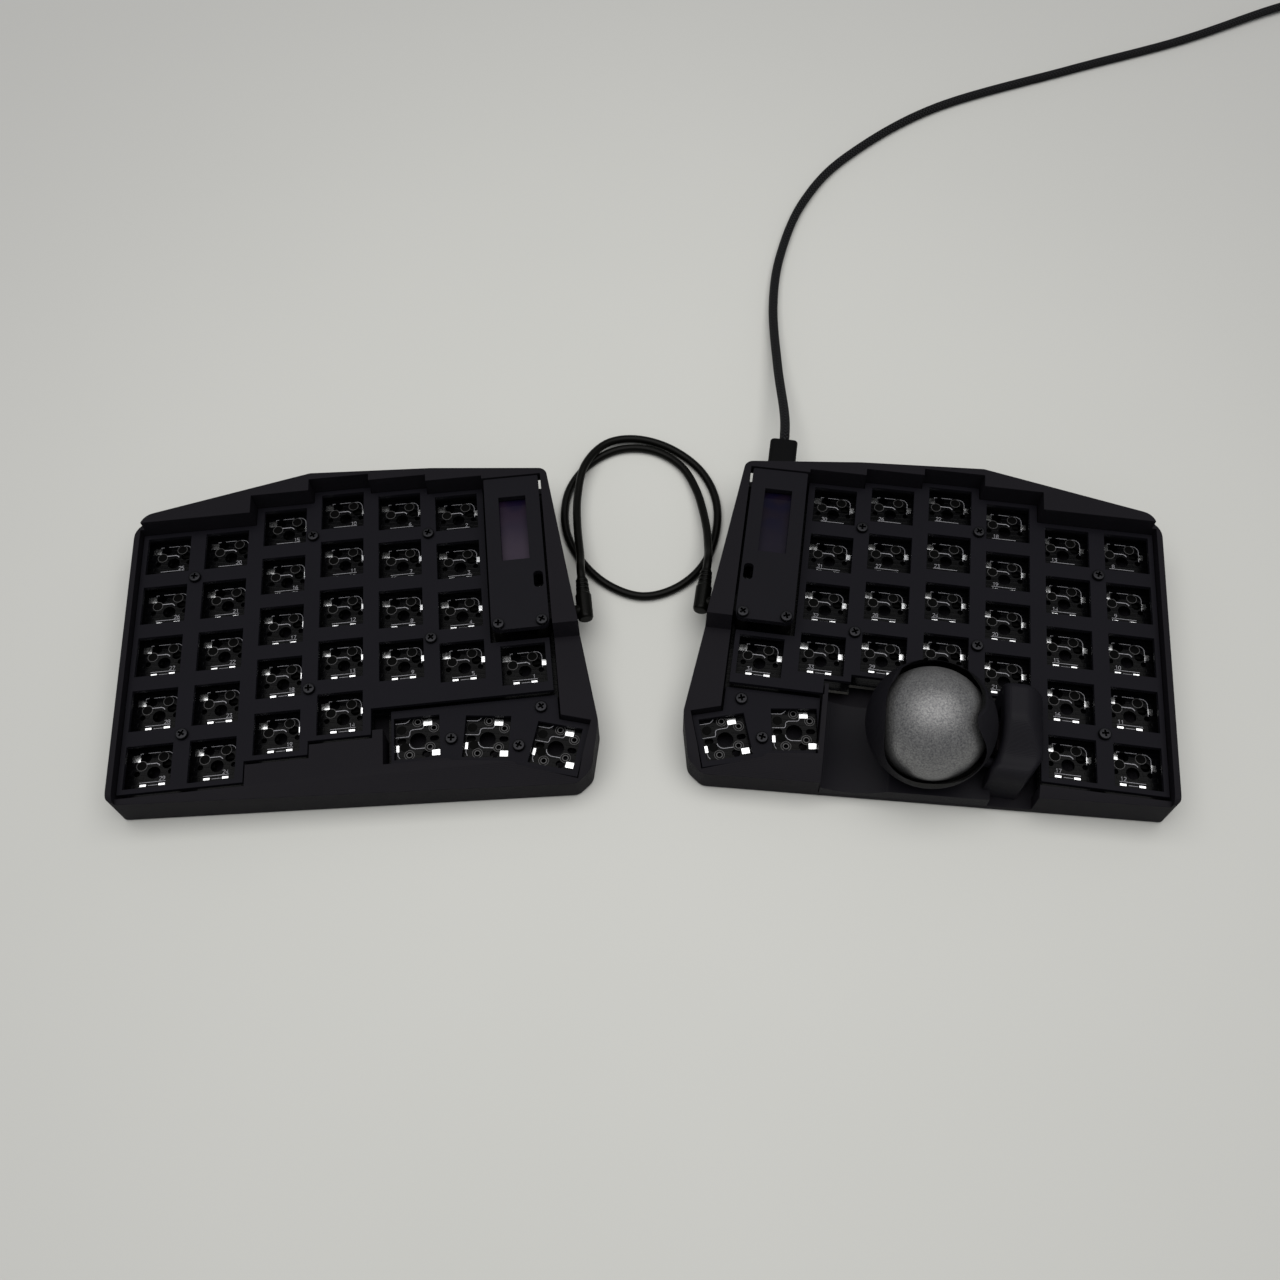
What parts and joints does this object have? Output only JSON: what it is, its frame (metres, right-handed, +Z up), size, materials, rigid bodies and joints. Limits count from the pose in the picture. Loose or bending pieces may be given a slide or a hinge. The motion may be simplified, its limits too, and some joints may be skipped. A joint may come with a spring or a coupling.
{
  "type": "split keyboard with trackball",
  "caption": "Split keyboard in two angled halves with open switch wells, display bays, a thumb trackball, a looped link cord and a braided USB cord.",
  "frame": {"origin": "centre of the two halves' common box, on the desk", "axes": "+X to the user's right, +Y away from the user, +Z up"},
  "size_m": [0.5421, 0.4546, 0.0374],
  "materials": {
    "case_print": "3-D printed layers, charcoal",
    "plate": "glass-fibre board, matte black mask",
    "board": "glass-fibre board, black mask with white print",
    "cover": "matte black board",
    "glass": "dark display glass",
    "black_plastic": "moulded",
    "pin_metal": "gold-plated pins in black strips",
    "socket_metal": "drawn steel shell",
    "brass": "turned",
    "screw": "pan heads with a cross recess",
    "button": "moulded",
    "foot_rubber": "soft",
    "ball": "polished grey",
    "support": "polished ceramic",
    "lens": "clear moulded lens",
    "cord_rubber": "smooth jacket",
    "cord_braid": "woven sleeve"
  },
  "bodies": {
    "keyboard": {"left_tray": "case_print", "right_tray": "case_print", "left_plate": "plate", "right_plate": "plate", "left_thumb_plate": "plate", "right_thumb_plate": "plate", "left_pcb": "board", "right_pcb": "board", "left_cover": "cover", "right_cover": "cover", "left_controller": "board", "right_controller": "board", "display_boards": "board", "display_glasses": "glass", "display_sockets": "black_plastic", "pin_headers": "pin_metal", "usb_sockets": "socket_metal", "key_sockets": "black_plastic", "diodes": "black_plastic", "plate_spacers": "brass", "plate_screws": "screw", "thumb_screws": "screw", "cover_spacers": "brass", "cover_screws": "screw", "left_reset_switch": "black_plastic", "right_reset_switch": "black_plastic", "left_jack": "black_plastic", "right_jack": "black_plastic", "feet": "foot_rubber", "ball_cup": "case_print", "sensor_hood": "case_print", "support_balls": "support", "sensor_board": "board", "sensor_chip": "black_plastic", "sensor_lens": "lens", "left_link_plug": "black_plastic", "right_link_plug": "black_plastic", "link_cord": "cord_rubber", "usb_plug": "black_plastic", "usb_cord": "cord_braid", "usb_coil": "cord_braid", "usb_tie": "cord_rubber", "usb_far_plug": "black_plastic"},
    "trackball": {"ball": "ball"},
    "left_button": {"left_reset_button": "button"},
    "right_button": {"right_reset_button": "button"}
  },
  "joints": [
    {"name": "ball_roll", "type": "hinge", "parent": "keyboard", "child": "trackball", "pos_m": [0.08474, -0.0373, 0.0204], "axis": [0.9895, -0.1444, 0], "continuous": true},
    {"name": "left_reset_press", "type": "slide", "parent": "keyboard", "child": "left_button", "axis": [0, 0, -1], "range_m": [0, 0.00025], "stiffness_N_per_m": 6400},
    {"name": "right_reset_press", "type": "slide", "parent": "keyboard", "child": "right_button", "axis": [0, 0, -1], "range_m": [0, 0.00025], "stiffness_N_per_m": 6400}
  ]
}
